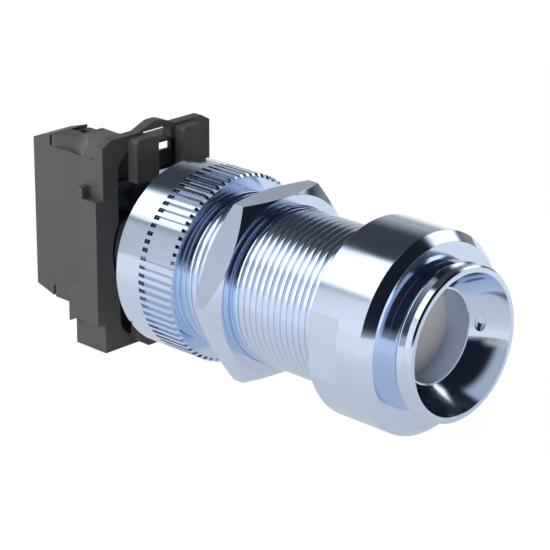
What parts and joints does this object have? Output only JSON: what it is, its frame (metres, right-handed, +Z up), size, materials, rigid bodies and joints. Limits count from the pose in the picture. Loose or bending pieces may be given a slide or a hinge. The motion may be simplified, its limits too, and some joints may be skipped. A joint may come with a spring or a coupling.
{
  "type": "panel pilot light",
  "caption": "Metal panel pilot light with a recessed lens, lock nut, slotted ring, black clamp collar and a slim lamp block with screw terminals.",
  "frame": {"origin": "on the light axis, in the rear shoulder of the head, which rests on the panel's front", "axes": "+Y along the light axis from lens to terminals, +Z up with the collar's arch, +X to the right seen from the rear"},
  "size_m": [0.0396, 0.1071, 0.0441],
  "materials": {
    "barrel": "bright plated, polished",
    "bezel": "bright plated, polished",
    "nut": "bright plated",
    "ring": "bright plated",
    "tail": "bright plated",
    "lens": "frosted translucent",
    "gasket": "matte",
    "guide": "clear moulded",
    "bush": "natural moulded",
    "collar": "fine moulded texture",
    "housing": "fine moulded texture",
    "cover": "fine moulded texture",
    "led": "diffused",
    "board": "solder mask",
    "components": "moulded",
    "terminals": "stamped",
    "steel": "zinc plated"
  },
  "bodies": {
    "body": {"barrel": "barrel", "front_bezel": "bezel", "lens": "lens", "lens_gasket": "gasket", "light_guide": "guide", "front_guide_bush": "bush", "rear_guide_bush": "bush", "tail_sleeve": "tail", "tail_gasket": "gasket", "collar": "collar", "clamp_plate": "steel", "clamp_screws": "steel", "lamp_housing": "housing", "rear_cover": "cover", "led": "led", "circuit_board": "board", "resistor": "components", "rectifier": "components", "capacitor": "components", "upper_terminal": "terminals", "lower_terminal": "terminals"},
    "nut": {"lock_nut": "nut"},
    "ring": {"grip_ring": "ring"},
    "upper_clamp_screw": {"upper_clamp": "steel", "upper_screw": "steel"},
    "lower_clamp_screw": {"lower_clamp": "steel", "lower_screw": "steel"}
  },
  "joints": [
    {"name": "nut_travel", "type": "slide", "parent": "body", "child": "nut", "axis": [0, 1, 0], "range_m": [-0.019, 0.006]},
    {"name": "ring_turn", "type": "hinge", "parent": "body", "child": "ring", "pos_m": [0, 0.041, 0], "axis": [0, 1, 0], "range_deg": [-90, 0]},
    {"name": "upper_terminal_travel", "type": "slide", "parent": "body", "child": "upper_clamp_screw", "axis": [0, 1, 0], "range_m": [0, 0.0018]},
    {"name": "lower_terminal_travel", "type": "slide", "parent": "body", "child": "lower_clamp_screw", "axis": [0, 1, 0], "range_m": [0, 0.0018]}
  ]
}
